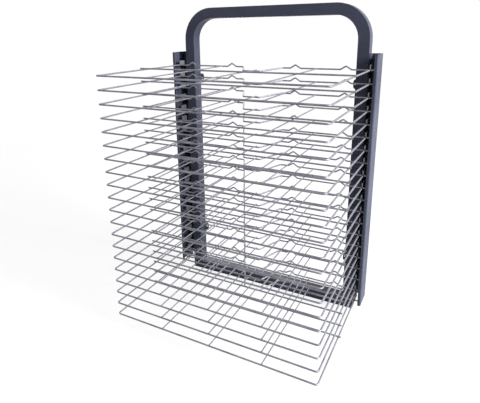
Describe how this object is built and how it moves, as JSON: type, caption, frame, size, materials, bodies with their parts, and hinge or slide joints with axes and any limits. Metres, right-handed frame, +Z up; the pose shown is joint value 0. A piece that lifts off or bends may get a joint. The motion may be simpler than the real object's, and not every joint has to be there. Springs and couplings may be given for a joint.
{
  "type": "art drying rack",
  "caption": "Wall rack for drying pictures: a bent tube hoop and two channel rails carry a stack of hinged wire shelves that lift together.",
  "frame": {"origin": "under the middle of the whole rack's box, level with the foot of the hoop", "axes": "+Z up, -Y to the open front of the shelves, +Y to the wall, +X to the right as seen from the front"},
  "size_m": [0.4486, 0.3026, 0.637],
  "materials": {
    "frame_paint": "dark blue-grey powder coat, satin",
    "shelf_wire_steel": "drawn steel wire, bright zinc, slightly dull"
  },
  "bodies": {
    "frame": {"hoop_frame": "frame_paint", "bottom_bar": "frame_paint", "left_rail": "frame_paint", "right_rail": "frame_paint", "upper_left_wall_lug": "frame_paint", "upper_right_wall_lug": "frame_paint", "lower_left_wall_lug": "frame_paint", "lower_right_wall_lug": "frame_paint"},
    "shelf_01": {"shelf_01": "shelf_wire_steel"},
    "shelf_02": {"shelf_02": "shelf_wire_steel"},
    "shelf_03": {"shelf_03": "shelf_wire_steel"},
    "shelf_04": {"shelf_04": "shelf_wire_steel"},
    "shelf_05": {"shelf_05": "shelf_wire_steel"},
    "shelf_06": {"shelf_06": "shelf_wire_steel"},
    "shelf_07": {"shelf_07": "shelf_wire_steel"},
    "shelf_08": {"shelf_08": "shelf_wire_steel"},
    "shelf_09": {"shelf_09": "shelf_wire_steel"},
    "shelf_10": {"shelf_10": "shelf_wire_steel"},
    "shelf_11": {"shelf_11": "shelf_wire_steel"},
    "shelf_12": {"shelf_12": "shelf_wire_steel"},
    "shelf_13": {"shelf_13": "shelf_wire_steel"},
    "shelf_14": {"shelf_14": "shelf_wire_steel"},
    "shelf_15": {"shelf_15": "shelf_wire_steel"},
    "shelf_16": {"shelf_16": "shelf_wire_steel"},
    "shelf_17": {"shelf_17": "shelf_wire_steel"},
    "shelf_18": {"shelf_18": "shelf_wire_steel"},
    "shelf_19": {"shelf_19": "shelf_wire_steel"},
    "shelf_20": {"shelf_20": "shelf_wire_steel"}
  },
  "joints": [
    {"name": "shelf_01_hinge", "type": "hinge", "parent": "frame", "child": "shelf_01", "pos_m": [0, 0.11025, 0.5155], "axis": [-1, 0, 0], "range_deg": [0, 70]},
    {"name": "shelf_02_hinge", "type": "hinge", "parent": "frame", "child": "shelf_02", "pos_m": [0, 0.11025, 0.4901], "axis": [-1, 0, 0], "range_deg": [0, 70]},
    {"name": "shelf_03_hinge", "type": "hinge", "parent": "frame", "child": "shelf_03", "pos_m": [0, 0.11025, 0.4647], "axis": [-1, 0, 0], "range_deg": [0, 70]},
    {"name": "shelf_04_hinge", "type": "hinge", "parent": "frame", "child": "shelf_04", "pos_m": [0, 0.11025, 0.4393], "axis": [-1, 0, 0], "range_deg": [0, 70]},
    {"name": "shelf_05_hinge", "type": "hinge", "parent": "frame", "child": "shelf_05", "pos_m": [0, 0.11025, 0.4139], "axis": [-1, 0, 0], "range_deg": [0, 70]},
    {"name": "shelf_06_hinge", "type": "hinge", "parent": "frame", "child": "shelf_06", "pos_m": [0, 0.11025, 0.3885], "axis": [-1, 0, 0], "range_deg": [0, 70]},
    {"name": "shelf_07_hinge", "type": "hinge", "parent": "frame", "child": "shelf_07", "pos_m": [0, 0.11025, 0.3631], "axis": [-1, 0, 0], "range_deg": [0, 70]},
    {"name": "shelf_08_hinge", "type": "hinge", "parent": "frame", "child": "shelf_08", "pos_m": [0, 0.11025, 0.3377], "axis": [-1, 0, 0], "range_deg": [0, 70]},
    {"name": "shelf_09_hinge", "type": "hinge", "parent": "frame", "child": "shelf_09", "pos_m": [0, 0.11025, 0.3123], "axis": [-1, 0, 0], "range_deg": [0, 70]},
    {"name": "shelf_10_hinge", "type": "hinge", "parent": "frame", "child": "shelf_10", "pos_m": [0, 0.11025, 0.2869], "axis": [-1, 0, 0], "range_deg": [0, 70]},
    {"name": "shelf_11_hinge", "type": "hinge", "parent": "frame", "child": "shelf_11", "pos_m": [0, 0.11025, 0.2615], "axis": [-1, 0, 0], "range_deg": [0, 70]},
    {"name": "shelf_12_hinge", "type": "hinge", "parent": "frame", "child": "shelf_12", "pos_m": [0, 0.11025, 0.2361], "axis": [-1, 0, 0], "range_deg": [0, 70]},
    {"name": "shelf_13_hinge", "type": "hinge", "parent": "frame", "child": "shelf_13", "pos_m": [0, 0.11025, 0.2107], "axis": [-1, 0, 0], "range_deg": [0, 70]},
    {"name": "shelf_14_hinge", "type": "hinge", "parent": "frame", "child": "shelf_14", "pos_m": [0, 0.11025, 0.1853], "axis": [-1, 0, 0], "range_deg": [0, 70]},
    {"name": "shelf_15_hinge", "type": "hinge", "parent": "frame", "child": "shelf_15", "pos_m": [0, 0.11025, 0.1599], "axis": [-1, 0, 0], "range_deg": [0, 70]},
    {"name": "shelf_16_hinge", "type": "hinge", "parent": "frame", "child": "shelf_16", "pos_m": [0, 0.11025, 0.1345], "axis": [-1, 0, 0], "range_deg": [0, 70]},
    {"name": "shelf_17_hinge", "type": "hinge", "parent": "frame", "child": "shelf_17", "pos_m": [0, 0.11025, 0.1091], "axis": [-1, 0, 0], "range_deg": [0, 70]},
    {"name": "shelf_18_hinge", "type": "hinge", "parent": "frame", "child": "shelf_18", "pos_m": [0, 0.11025, 0.0837], "axis": [-1, 0, 0], "range_deg": [0, 70]},
    {"name": "shelf_19_hinge", "type": "hinge", "parent": "frame", "child": "shelf_19", "pos_m": [0, 0.11025, 0.0583], "axis": [-1, 0, 0], "range_deg": [0, 70]},
    {"name": "shelf_20_hinge", "type": "hinge", "parent": "frame", "child": "shelf_20", "pos_m": [0, 0.11025, 0.0329], "axis": [-1, 0, 0], "range_deg": [0, 70]}
  ],
  "couplings": [
    {"joint": "shelf_01_hinge", "follows": "shelf_20_hinge", "ratio": 1},
    {"joint": "shelf_02_hinge", "follows": "shelf_20_hinge", "ratio": 1},
    {"joint": "shelf_03_hinge", "follows": "shelf_20_hinge", "ratio": 1},
    {"joint": "shelf_04_hinge", "follows": "shelf_20_hinge", "ratio": 1},
    {"joint": "shelf_05_hinge", "follows": "shelf_20_hinge", "ratio": 1},
    {"joint": "shelf_06_hinge", "follows": "shelf_20_hinge", "ratio": 1},
    {"joint": "shelf_07_hinge", "follows": "shelf_20_hinge", "ratio": 1},
    {"joint": "shelf_08_hinge", "follows": "shelf_20_hinge", "ratio": 1},
    {"joint": "shelf_09_hinge", "follows": "shelf_20_hinge", "ratio": 1},
    {"joint": "shelf_10_hinge", "follows": "shelf_20_hinge", "ratio": 1},
    {"joint": "shelf_11_hinge", "follows": "shelf_20_hinge", "ratio": 1},
    {"joint": "shelf_12_hinge", "follows": "shelf_20_hinge", "ratio": 1},
    {"joint": "shelf_13_hinge", "follows": "shelf_20_hinge", "ratio": 1},
    {"joint": "shelf_14_hinge", "follows": "shelf_20_hinge", "ratio": 1},
    {"joint": "shelf_15_hinge", "follows": "shelf_20_hinge", "ratio": 1},
    {"joint": "shelf_16_hinge", "follows": "shelf_20_hinge", "ratio": 1},
    {"joint": "shelf_17_hinge", "follows": "shelf_20_hinge", "ratio": 1},
    {"joint": "shelf_18_hinge", "follows": "shelf_20_hinge", "ratio": 1},
    {"joint": "shelf_19_hinge", "follows": "shelf_20_hinge", "ratio": 1}
  ]
}
